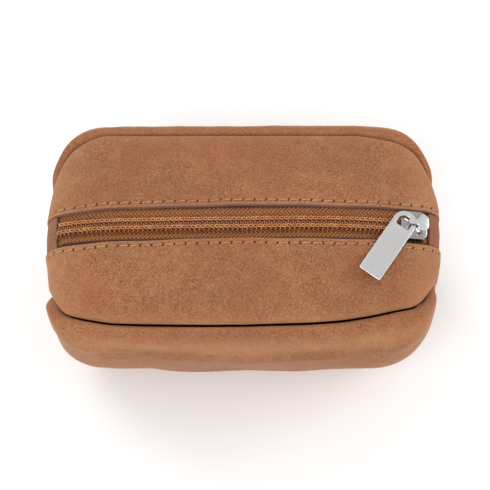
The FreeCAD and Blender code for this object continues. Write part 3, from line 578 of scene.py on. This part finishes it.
def zip_strip(name, back):
    """The leather strip beside the zip: a cut edge, a stitched channel and a turned seam."""
    end = STRIP_SEAM - SEAM_GAP
    q = np.linspace(-end, end, 2 * int(end / (STITCH_PITCH / 12)) + 1)
    edge, seam = zip_edge(q, back), band_half(q, back) - SEAM_GAP
    inset = spread(edge, seam, 26)
    across = edge[:, None] + inset
    qs = np.broadcast_to(q[:, None], across.shape)
    base = band_place(qs, across, back)
    normals = grid_normals(base, BAND_CENTRE)
    base[..., 1] += strip_sway(qs) * (1 - inset / inset[:, -1:]) ** 0.7
    to_seam = seam[:, None] - across
    to_end = end - np.abs(qs)
    level = np.minimum(cut_roll(inset) + seam_roll(to_seam), seam_roll(to_end * 1.4) * 0.8)
    inner_ease = ease(0.0, 6.0, to_seam) * ease(0.5, 4.0, inset)
    level = level + undulation(base, 3 + back, 0.32) * inner_ease
    level = level + pucker(qs, to_seam, 2.0 * back, 0.16) * ease(0.4, 2.0, to_seam)
    # the row of stitches pulls a shallow channel, with a hole at each end of a stitch
    row = inset - STITCH_INSET
    level = level - 0.10 * np.exp(-(row / 0.42) ** 2) * (np.abs(qs) < 61.0)
    hole = np.zeros_like(level)
    for middle in stitch_middles():
        for side in (-1, 1):
            along, up = qs - middle - side * 0.47 * STITCH_PITCH, row * back - 0.1 * side
            away = np.hypot((0.8 * along + 0.6 * up) / 0.42, (0.8 * up - 0.6 * along) / 0.22)
            hole = np.maximum(hole, np.exp(-away ** 2))
    level = level - 0.35 * hole
    # paler from wear at the seam and the cut edge, with a painted highlight where the strip bends
    # over the shoulders
    bend = ease(44.0, 58.0, np.abs(qs)) * (1.0 - ease(66.0, 72.0, np.abs(qs)))
    wear_and_bend_highlight = np.clip(0.55 * np.exp(-to_seam / 1.6) + 0.4 * bend + 0.3 * np.exp(-inset / 0.8), 0, 1)
    painted = np.exp(-(inset / 0.12) ** 2)
    inner = np.full(level.shape, -LEATHER)
    inner[:, 0] = -LEATHER + 0.25
    points = sheet_points(base, normals, level, inner)
    rows, columns = level.shape
    # the hole mask also carries the needle holes' painted shade
    data = {"wear_and_bend_highlight": np.tile(wear_and_bend_highlight.ravel(), 2),
            "hole": np.concatenate([hole.ravel(), 0 * hole.ravel()]),
            "edge": np.concatenate([painted.ravel(), (inset < 0.2).astype(float).ravel()])}
    return make_piece(name, points, sheet_faces(rows, columns), TAN, "pouch", [name], data)


def foot_steps(start, step):
    """Distances along the loop from the right cross seam round the bottom to the left one."""
    return np.concatenate([np.arange(start, Q_END[RIGHT], step),
                           -np.arange(start, Q_END[LEFT], step)[::-1]])


def base_gusset():
    """The side-and-bottom band."""
    start = STRIP_SEAM + SEAM_GAP
    q = foot_steps(start, 0.8)
    border = np.array([0.0, 0.005, 0.012, 0.022, 0.035, 0.05, 0.07, 0.095])
    share = np.concatenate([-1 + border, np.linspace(-0.87, 0.87, 26), 1 - border[::-1]])
    qs, shares = np.meshgrid(q, share, indexing="ij")
    halves = np.where(shares < 0, band_half(qs, FRONT), band_half(qs, BACK)) - SEAM_GAP
    across = np.abs(shares) * halves
    base = both_sides(qs, across * np.sign(shares))
    normals = grid_normals(base, POUCH_CENTRE)
    to_seam, to_end = halves - across, np.abs(qs) - start
    level = np.minimum(seam_roll(to_seam), seam_roll(to_end * 1.2))
    foot = ease(Q_CORNER_START, Q_CORNER_END + 4, np.abs(qs))
    level = level + undulation(base, 9, 0.25) * ease(0.5, 5.0, to_seam) * (1 - foot)
    level = level + pucker(qs, to_seam, 1.0, 0.14) * ease(0.4, 2.0, to_seam) * (1 - foot)
    level = level + 0.3 * np.exp(-((to_end - 2.2) / 1.8) ** 2)
    # paler from wear along the seams, with a painted highlight over the bends at the bottom corners
    wear_and_bend_highlight = np.clip(0.5 * np.exp(-to_seam / 1.6) + 0.35 * ease(98, 108, np.abs(qs))
                   * (1 - ease(118, 128, np.abs(qs))), 0, 1)
    points = sheet_points(base, normals, level, np.full(level.shape, -LEATHER))
    rows, columns = level.shape
    return make_piece("base_gusset", points, sheet_faces(rows, columns), TAN, "pouch",
                      ["base_gusset"], {"wear_and_bend_highlight": np.tile(wear_and_bend_highlight.ravel(), 2)})


def end_tab(name, side):
    """The folded tab over one end of the zip, lying lower than the strips."""
    start = TAB_START[side]
    q = np.concatenate([start + np.array([0.0, 0.03, 0.12, 0.3, 0.55, 0.9]),
                        np.linspace(start + 1.5, STRIP_SEAM - 0.3, 26)])
    border = TAB_HALF - np.array([0.0, 0.03, 0.15, 0.4])
    across = np.concatenate([-border, np.linspace(-4.4, 4.4, 17), border[::-1]])
    qs, ys = np.meshgrid(side * q, across, indexing="ij")
    base = both_sides(qs, ys)
    base[..., 1] += strip_sway(qs)
    normals = grid_normals(base, BAND_CENTRE)
    inset = np.abs(qs) - start
    level = -0.45 + cut_roll(inset, 0.5) + cut_roll(TAB_HALF - np.abs(ys))
    level = level + 0.12 * ripple(qs, ys, 0 * qs, 4.0, 5)
    wear_and_bend_highlight = 0.6 * np.exp(-inset / 0.7)
    points = sheet_points(base, normals, level, np.full(level.shape, TAB_UNDER))
    rows, columns = level.shape
    return make_piece(name, points, sheet_faces(rows, columns), TAB_TAN, "pouch",
                      [name], {"wear_and_bend_highlight": np.tile(wear_and_bend_highlight.ravel(), 2)})


# ------------------------------------------------------------------ panels and linings
def panel_grid(back, keys, spacing, first=0.0):
    """Points and normals of a panel's rings, closed round the loop, and each ring's distance in."""
    count = int((Q_END[LEFT] + Q_END[RIGHT]) / spacing)
    q = -Q_END[LEFT] + (Q_END[LEFT] + Q_END[RIGHT]) * np.arange(count) / count
    qs, ks = np.meshgrid(q, keys, indexing="ij")
    turn = mix(first, 90.0, np.minimum(ks, 90.0) / 90.0)
    points = panel_place(qs, turn, np.maximum(ks - 90.0, 0.0) / 90.0, back)
    wrapped = np.concatenate([points[-2:], points, points[:2]])
    normals = grid_normals(wrapped, POUCH_CENTRE)[2:-2]
    steps = np.linalg.norm(np.diff(points, axis=1), axis=-1)
    depth = np.concatenate([np.zeros((count, 1)), np.cumsum(steps, 1)], 1)
    return qs, points, normals, depth


PANEL_KEYS = np.concatenate([[0, 2, 4, 6.5, 9, 12, 15, 19], np.arange(24, 90, 5.5), [90],
                             90 + 90 * np.linspace(0.02, 0.985, 58)])


def closed_panel(points, normals, level, inner):
    """Joins the outer and inner rings at the seam and closes each face at the middle."""
    count, columns = level.shape
    outer, under = points + normals * level[..., None], points + normals * inner[..., None]
    middle = [outer[:, -1].mean(0), under[:, -1].mean(0)]
    size = count * columns
    faces = []
    for i in range(count):
        k = (i + 1) % count
        for j in range(columns - 1):
            face = (i * columns + j, k * columns + j, k * columns + j + 1, i * columns + j + 1)
            faces.append(face)
            faces.append(tuple(size + v for v in face[::-1]))
        faces.append((i * columns, k * columns, size + k * columns, size + i * columns))
        a, b = i * columns + columns - 1, k * columns + columns - 1
        faces.append((a, b, 2 * size))
        faces.append((size + b, size + a, 2 * size + 1))
    return np.concatenate([outer.reshape(-1, 3), under.reshape(-1, 3), middle]), faces


def panel(name, back):
    """The front or back panel, rolled over at its seam and fuller at the shoulders."""
    qs, points, normals, depth = panel_grid(back, PANEL_KEYS, 0.8)
    # the panel leaves the seam from under the band's turned edge
    level = -1.15 * np.exp(-(depth / 0.95) ** 1.5) - 0.25 * np.exp(-depth / 3.0)
    level = level + undulation(points, 20 + 3 * back, 0.45) * ease(1.0, 9.0, depth)
    level = level + pucker(qs, depth, 3.0 * back, 0.10) * ease(0.3, 1.6, depth)
    full = mix(*((1.7, 0.5) if back < 0 else (1.3, 0.7)), (qs > 0).astype(float))
    sides = ease(44.0, 60.0, np.abs(qs)) * (1 - ease(108.0, 122.0, np.abs(qs)))
    level = level + full * sides * ease(0.2, 4.0, depth) * (1 - ease(9.0, 24.0, depth))
    # paler from wear near the seam, with a painted highlight along the rolled edge
    rolled = ease(2.0, 9.0, depth) * (1 - ease(9.0, 20.0, depth))
    wear_and_bend_highlight = np.clip(0.25 * np.exp(-depth / 1.2) + 0.5 * rolled, 0, 1)
    shape, faces = closed_panel(points, normals, level, np.full(level.shape, -LEATHER))
    wear_and_bend_highlight = np.concatenate([wear_and_bend_highlight.ravel(), wear_and_bend_highlight.ravel(), [0, 0]])
    return make_piece(name, shape, faces, TAN, "pouch", [name], {"wear_and_bend_highlight": wear_and_bend_highlight})


def lining_panel(name, back):
    """The lining stretched behind a panel."""
    keys = np.concatenate([np.linspace(0, 90, 14), 90 + 90 * np.linspace(0.05, 0.96, 22)])
    qs, points, normals, depth = panel_grid(back, keys, 2.4, 8.0)
    top = np.full(depth.shape, LINING_TOP)
    shape, faces = closed_panel(points, normals, top, top - LINING)
    place = np.stack([points[..., 0], points[..., 2], points[..., 1]], -1).reshape(-1, 3)
    place = np.concatenate([place, place, np.zeros((2, 3))])
    return make_piece(name, shape, faces, LINING_CLOTH, "pouch", [name], {"place": place})


def band_sheet(name, qs, ys, back, top, thick, material, slot):
    """A plain sheet over a grid of the band, on one side of the zip, or across it (back 0)."""
    base = band_place(qs, ys, back) if back else both_sides(qs, ys)
    if material == TAPE:
        base[..., 1] += chain_sway(qs)
    normals = grid_normals(base, BAND_CENTRE)
    level = np.full(ys.shape, top)
    points = sheet_points(base, normals, level, level - thick)
    place = np.stack([qs, ys, 0 * qs], -1).reshape(-1, 3)
    # little light reaches the tape beside the strips' edges and in front of the end tabs
    edge = ZIP_GAP + (0.8 if back > 0 else -0.45)
    ends = np.where(qs < 0, TAB_START[LEFT], TAB_START[RIGHT])
    shade = 0.9 * np.maximum(ease(edge - 1.1, edge, ys), ease(-1.0, -0.2, np.abs(qs) - ends))
    return make_piece(name, points, sheet_faces(*level.shape), material, "pouch", [name],
                      {"place": np.concatenate([place, place]), "shade": np.tile(shade.ravel(), 2)})


for name, back in SIDES:
    zip_strip("zip_strip_%s" % name, back)
    panel("%s_panel" % name, back)
    sheet = lining_panel("lining_%s" % name, back)
    qs, share = np.meshgrid(np.linspace(-71.0, 71.0, 90), np.linspace(0, 1, 12), indexing="ij")
    sheet = band_sheet("lining_strip_%s" % name, qs, mix(6.4, band_half(qs, back) - 1.6, share),
                       back, LINING_TOP - 0.1, LINING, LINING_CLOTH, "lining")
    across = np.concatenate([np.linspace(0.95, 7.0, 25), [9.0, 11.0, 13.0]])
    grid = np.meshgrid(np.linspace(-TAPE_END, TAPE_END, 190), across, indexing="ij")
    sheet = band_sheet("zip_tape_%s" % name, *grid, back, TAPE_TOP, TAPE_THICK, TAPE, "zip_tape")
base_gusset()
end_tab("zip_end_tab_left", LEFT)
end_tab("zip_end_tab_right", RIGHT)
grid = np.meshgrid(foot_steps(STRIP_SEAM + 1, 2.0), np.linspace(-13.6, 13.6, 12), indexing="ij")
sheet = band_sheet("lining_gusset", *grid, 0, LINING_TOP, LINING, LINING_CLOTH, "lining")


# ------------------------------------------------------------------ threads
def band_point(q, y, level):
    """A point over the band at distance y from the zip (+ to the back), level mm off the leather."""
    q, y = np.asarray(q, float), np.asarray(y, float)
    nx, nz = loop_place(q)[2:]
    return both_sides(q, y) + np.stack(np.broadcast_arrays(nx * level, 0.0 * y, nz * level), -1)


def two_ply(batch, path, radius, turns):
    """Adds two strands twisted round each other along a path."""
    path = np.asarray(path)
    ways = np.gradient(path, axis=0)
    ways /= np.linalg.norm(ways, axis=1, keepdims=True)
    side = np.cross(ways, (0.2, 0.1, 1.0))
    side /= np.linalg.norm(side, axis=1, keepdims=True)
    other = np.cross(ways, side)
    angle = np.linspace(0, 2 * math.pi * turns, len(path))[:, None]
    for start in (0.0, math.pi):
        swing = np.cos(angle + start) * side + np.sin(angle + start) * other
        batch.add(*tube(path + swing * radius * 0.5, radius * 0.62, 6))


def strip_stitching(name, back):
    """The row of topstitches of a strip, each dipping into its needle holes."""
    batch = Batch()
    for i, middle in enumerate(stitch_middles()):
        t = np.linspace(-1, 1, 13)
        q = middle + t * STITCH_PITCH * 0.46
        slant = 0.12 * t * back + 0.03 * math.sin(3.7 * i)
        y = back * (zip_edge(middle, back) + STITCH_INSET + slant) + strip_sway(q)
        level = -0.55 + 0.62 * (1 - np.abs(t) ** 4.5) + 0.02 * math.sin(2.3 * i)
        two_ply(batch, band_point(q, y, level), 0.165, 2.6)
    return batch.piece(name, SEWING_THREAD, "thread")


def seam_thread(name, back):
    """The stitches that hold a panel to the band, seen only where the seam opens."""
    batch = Batch()
    for side in (LEFT, RIGHT):
        for middle in np.arange(2.0, Q_END[side] - 2.0, STITCH_PITCH):
            t = np.linspace(-1, 1, 7)
            q = side * (middle + t * STITCH_PITCH * 0.44)
            y = back * (band_half(q, back) + 0.02)
            nx, nz = loop_place(q)[2:]
            points = band_place(q, np.abs(y), back)
            level = -2.1 - 0.35 * np.abs(t) ** 3
            points = points + np.stack([nx * level, 0 * y, nz * level], -1)
            batch.add(*tube(points, THREAD_RADIUS, 6))
    return batch.piece(name, SEWING_THREAD, "thread")


def cross_seam_thread(name, side):
    """The stitches between the strips and the side-and-bottom band."""
    batch = Batch()
    for middle in np.arange(-13.0, 13.1, 2.9):
        t = np.linspace(-1, 1, 7)
        y = middle + t * 1.25
        level = -0.95 - 0.3 * np.abs(t) ** 3
        path = band_point(np.full(7, side * STRIP_SEAM), y, level)
        batch.add(*tube(path, THREAD_RADIUS, 6))
    return batch.piece(name, SEWING_THREAD, "thread")


for name, back in SIDES:
    strip_stitching("strip_stitching_%s" % name, back)
    seam_thread("seam_thread_%s" % name, back)
cross_seam_thread("cross_seam_thread_left", LEFT)
cross_seam_thread("cross_seam_thread_right", RIGHT)


# ------------------------------------------------------------------ the coils
def parting(q):
    """How far the coils stand apart: meshed behind the slider's wedge, open beyond it."""
    return 1.2 * ease(SLIDER_Q - 1.5, SLIDER_Q + 2.5, q)


def zip_point(q, y, level):
    """A point of the chain, which wanders: y to the back, level mm off the zip's line."""
    x, z, nx, nz = loop_place(q)
    return np.stack([x + nx * level, y + chain_sway(q), z + nz * level], -1)


def turn_places(back):
    """Where along the zip a coil's turns lie; the two coils are half a pitch apart."""
    offset = COIL_PITCH / 2 if back > 0 else 0.0
    places = np.arange(-42, 42) * COIL_PITCH + offset
    return places[(places >= 0.9 - TAB_START[LEFT]) & (places <= COIL_END - COIL_PITCH / 2)]


def zip_coil(name, back):
    """One filament: over the top from heel to head, round the head, back below and on."""
    # of one turn: share of the pitch, distance from the zip, level
    turn = np.array([(0.00, 2.26, -0.66), (0.10, 2.30, -0.40), (0.20, 2.02, -0.20),
                     (0.26, 1.20, -0.20), (0.30, 0.40, -0.20), (0.32, -0.02, -0.26),
                     (0.34, -0.28, -0.44), (0.35, -0.34, -0.72), (0.36, -0.26, -0.98),
                     (0.38, 0.02, -1.12), (0.46, 0.60, -1.16), (0.60, 1.30, -1.16),
                     (0.80, 2.02, -1.12), (0.94, 2.22, -0.92)])
    places = turn_places(back)
    q = (places[:, None] + (turn[:, 0] - 0.31) * COIL_PITCH).ravel()
    y, level = np.tile(turn[:, 1], len(places)), np.tile(turn[:, 2], len(places))
    head = np.exp(-((y + 0.3) / 0.28) ** 2)
    path = zip_point(q, back * (y + parting(q)), level)
    batch = Batch()
    batch.add(*tube(path, 0.30 + 0.04 * head, 8))
    return batch.piece(name, COIL_PLASTIC, "coil")


def core_cord(name, back):
    """The cord inside a coil's turns."""
    q = np.linspace(turn_places(back)[0], turn_places(back)[-1], 160)
    path = zip_point(q, back * (1.15 + parting(q)), np.full(q.shape, -0.68))
    batch = Batch()
    batch.add(*tube(path, 0.2, 8))
    return batch.piece(name, CORD_FIBRE, "cord")


def coil_stitching(name, back):
    """A chain stitch along the coil: one open loop to a tooth, its ends going down between turns."""
    batch = Batch()
    angles = np.radians(np.linspace(28, 332, 17))
    for i, place in enumerate(turn_places(back)[:-1]):
        q = place + 0.5 * COIL_PITCH + 0.47 * np.cos(angles) * (1 + 0.5 * (np.cos(angles) > 0))
        y = 1.22 + 0.04 * math.sin(2.9 * i) + 0.40 * np.sin(angles)
        level = 0.16 - 0.45 * np.maximum(np.cos(angles), 0.0) ** 2 + 0.03 * math.sin(5.1 * i)
        batch.add(*tube(zip_point(q, back * (y + parting(q)), level), 0.18, 6))
    return batch.piece(name, CHAIN_THREAD, "coil_thread")


for name, back in SIDES:
    zip_coil("zip_coil_%s" % name, back)
    core_cord("core_cord_%s" % name, back)
    coil_stitching("coil_stitch_%s" % name, back)


# ------------------------------------------------------------------ slider, cap and puller
def slider_matrix():
    """From the slider's own frame to the pouch's."""
    turn = SLIDER_Q / CROWN_R
    x, z = CROWN_R * math.sin(turn), HEIGHT - CROWN_R + CROWN_R * math.cos(turn)
    return Matrix.Translation((x * MM, 0, z * MM)) @ Matrix.Rotation(turn, 4, "Y")


def rounded(corners, radii, count=7):
    """An outline through corners, each rounded by its own radius."""
    corners = [Vector(c) for c in corners]
    out = []
    for i, corner in enumerate(corners):
        before, after = corners[i - 1] - corner, corners[(i + 1) % len(corners)] - corner
        half = before.angle(after) / 2
        reach = min(radii[i] / math.tan(half), before.length * 0.48, after.length * 0.48)
        start, end = corner + before.normalized() * reach, corner + after.normalized() * reach
        for j in range(count + 1):
            t = j / count
            out.append(start * (1 - t) ** 2 + corner * 2 * t * (1 - t) + end * t * t)
    return out


def plate(work, outlines, low, high, bevel, matrix):
    """Adds a plate with rounded rims to a bmesh: a filled outline, with holes, from low to high."""
    curve = bpy.data.curves.new("outline", "CURVE")
    curve.dimensions = "2D"
    curve.fill_mode = "BOTH"
    curve.extrude = ((high - low) / 2 - bevel) * MM
    curve.bevel_depth = bevel * MM
    curve.offset = -bevel * MM
    curve.bevel_resolution = 3
    for outline in outlines:
        spline = curve.splines.new("POLY")
        spline.points.add(len(outline) - 1)
        for point, corner in zip(spline.points, outline):
            point.co = (corner[0] * MM, corner[1] * MM, 0, 1)
        spline.use_cyclic_u = True
    holder = bpy.data.objects.new("outline", curve)
    mesh = bpy.data.meshes.new_from_object(holder)
    bpy.data.objects.remove(holder)
    bpy.data.curves.remove(curve)
    mesh.transform(matrix @ Matrix.Translation((0, 0, (low + high) / 2 * MM)))
    work.from_mesh(mesh)
    bpy.data.meshes.remove(mesh)


def metal_piece(name, work, body, nodes, material=SATIN):
    bmesh.ops.remove_doubles(work, verts=work.verts, dist=0.002 * MM)
    bmesh.ops.recalc_face_normals(work, faces=work.faces)
    mesh = bpy.data.meshes.new(name)
    work.to_mesh(mesh)
    work.free()
    mesh.shade_smooth()
    mesh.set_sharp_from_angle(angle=math.radians(32))
    return place_piece(name, mesh, material, body, nodes)


def slider_body():
    """The wings over and under the chain, the wedge between them and the side rails."""
    work = bmesh.new()
    frame_matrix = slider_matrix()
    wing = rounded([(-4.0, -3.6), (-1.2, -4.4), (4.0, -4.4), (4.0, 4.4), (-1.2, 4.4), (-4.0, 3.6)],
                   [1.2, 3.0, 3.4, 3.4, 3.0, 1.2])
    plate(work, [wing], 0.2, WING_TOP, 0.22, frame_matrix)
    plate(work, [wing], -2.95, -2.15, 0.2, frame_matrix)
    wedge = rounded([(0.4, -0.12), (3.6, -0.7), (3.6, 0.7), (0.4, 0.12)], [0.05, 0.3, 0.3, 0.05], 4)
    plate(work, [wedge], -2.4, 0.5, 0.04, frame_matrix)
    for side in (-1, 1):
        rail = rounded([(-3.4, side * 3.75), (3.2, side * 3.75), (3.0, side * 4.35),
                        (-3.2, side * 4.35)], [0.2] * 4, 3)
        plate(work, [rail], -1.38, 0.6, 0.08, frame_matrix)
    return metal_piece("slider_body", work, "slider", ["slider_body"], POLISHED_PAINTED_DARK)


def slider_cap():
    """The crown: a post, a neck over the puller's ring, and a fan on its foot."""
    work = bmesh.new()
    frame_matrix = slider_matrix()
    x = BAR_X
    roof = BAR.z + ROOF_GAP
    fan = rounded([(x - 1.8, -0.65), (x + 0.7, -0.75), (x + 2.3, -2.9), (x + 4.2, -1.7),
                   (x + 4.2, 1.7), (x + 2.3, 2.9), (x + 0.7, 0.75), (x - 1.8, 0.65)],
                  [0.5, 1.2, 1.6, 1.6, 1.6, 1.6, 1.2, 0.5])
    plate(work, [fan], roof, roof + 0.6, 0.16, frame_matrix)
    post = rounded([(x - 1.75, -0.6), (x - 1.02, -0.6), (x - 1.02, 0.6), (x - 1.75, 0.6)],
                   [0.25] * 4, 4)
    plate(work, [post], WING_TOP - 0.2, roof + 0.3, 0.05, frame_matrix)
    foot = rounded([(x + 1.0, -0.9), (x + 2.2, -1.9), (x + 3.9, -1.6), (x + 3.9, 1.6),
                    (x + 2.2, 1.9), (x + 1.0, 0.9)], [0.3, 0.9, 0.8, 0.8, 0.9, 0.3])
    plate(work, [foot], WING_TOP - 0.2, roof + 0.3, 0.08, frame_matrix)
    return metal_piece("slider_cap", work, "slider", ["slider_cap"])


def puller_matrix():
    """From the middle of the puller's ring to the pouch's frame."""
    yaw = Matrix.Rotation(math.radians(180.0 + PULLER_YAW), 4, "Z")
    roll = Matrix.Rotation(math.radians(PULLER_ROLL), 4, "X")
    pitch = Matrix.Rotation(math.radians(-PULLER_PITCH), 4, "Y")
    bar_circle = (PULLER_HALF + PULLER_EYE) / 2
    return (slider_matrix() @ Matrix.Translation(BAR * MM) @ pitch @ roll
            @ Matrix.Translation((-bar_circle * MM, 0, 0)) @ yaw)


def half_round(radius, end, corner, count):
    """An outline that is round to the left of the ring's middle and square on its right."""
    angles = np.radians(np.linspace(90, 270, count))
    arc = [(radius * math.cos(a), radius * math.sin(a)) for a in angles]
    box = rounded([(0, -radius), (end, -radius), (end, radius), (0, radius)],
                  [0.0, corner, corner, 0.0], 5)
    return arc + [tuple(point) for point in box[6:18]]


def puller():
    """The flat plate with a rounded head and a window for the cap's neck."""
    work = bmesh.new()
    outline = half_round(PULLER_HALF, PULLER_LENGTH - PULLER_HALF, 0.45, 41)
    window = half_round(PULLER_EYE, PULLER_EYE * 0.7, 0.5, 29)
    plate(work, [outline, window], -0.45, 0.45, 0.12, puller_matrix())
    return metal_piece("puller", work, "puller", ["puller"])


slider_body()
slider_cap()
puller()
for node in ("lock_pawl", "lock_spring"):
    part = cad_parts[node]
    part.data.materials.clear()
    part.data.materials.append(STEEL)

# ------------------------------------------------------------------ floor, light and camera
FLOOR_REACH, FLOOR_LEVEL = 3.0, -0.0002         # in metres
LIGHT_TARGET = Vector((0, 0, 0.03))


def floor_material():
    paint = Paint("studio_floor", Specular_IOR_Level=0.2, Roughness=0.9)
    fine = paint.noise(30.0, 2.0, 0.5)
    white = paint.blend(fine, (0.95, 0.95, 0.95, 1), (0.96, 0.96, 0.96, 1))
    paint.set(paint.shader, {"Base Color": white})
    return paint.material


mesh = bpy.data.meshes.new("studio_floor")
corners = [(x * FLOOR_REACH, y * FLOOR_REACH, FLOOR_LEVEL)
           for x, y in ((-1, -1), (1, -1), (1, 1), (-1, 1))]
mesh.from_pydata(corners, [], [(0, 1, 2, 3)])
mesh.materials.append(floor_material())
floor = bpy.data.objects.new("studio_floor", mesh)
bpy.context.scene.collection.objects.link(floor)


def soft_light(name, place, size, power):
    light = bpy.data.lights.new(name, "AREA")
    light.shape = "SQUARE"
    light.size = size
    light.energy = power
    lamp = bpy.data.objects.new(name, light)
    lamp.location = place
    way = LIGHT_TARGET - Vector(place)
    lamp.rotation_euler = way.to_track_quat("-Z", "Y").to_euler()
    bpy.context.scene.collection.objects.link(lamp)


soft_light("key", (-0.3, -0.8, 1.1), 0.8, 8.0)
soft_light("fill", (-0.8, 0.8, 0.9), 0.8, 6.0)
soft_light("side", (1.15, 0.2, 0.65), 0.8, 6.0)

world = bpy.data.worlds.new("studio")
world.use_nodes = True
sky = world.node_tree.nodes["Background"]
sky.inputs["Color"].default_value = (1, 1, 1, 1)
sky.inputs["Strength"].default_value = 0.72
bpy.context.scene.world = world
bpy.context.scene.view_settings.view_transform = "Standard"

ELEVATION, DISTANCE = math.radians(67.0), 0.6
TARGET = Vector((0.0, 0.0, 0.040))
camera_data = bpy.data.cameras.new("camera")
camera_data.sensor_width = 36.0
camera_data.lens = 143.7
camera_data.shift_x = 0.004
camera_data.shift_y = 0.0225
camera = bpy.data.objects.new("camera", camera_data)
camera.location = TARGET + Vector((0, -math.cos(ELEVATION), math.sin(ELEVATION))) * DISTANCE
camera.rotation_euler = (TARGET - camera.location).to_track_quat("-Z", "Y").to_euler()
bpy.context.scene.collection.objects.link(camera)
bpy.context.scene.camera = camera
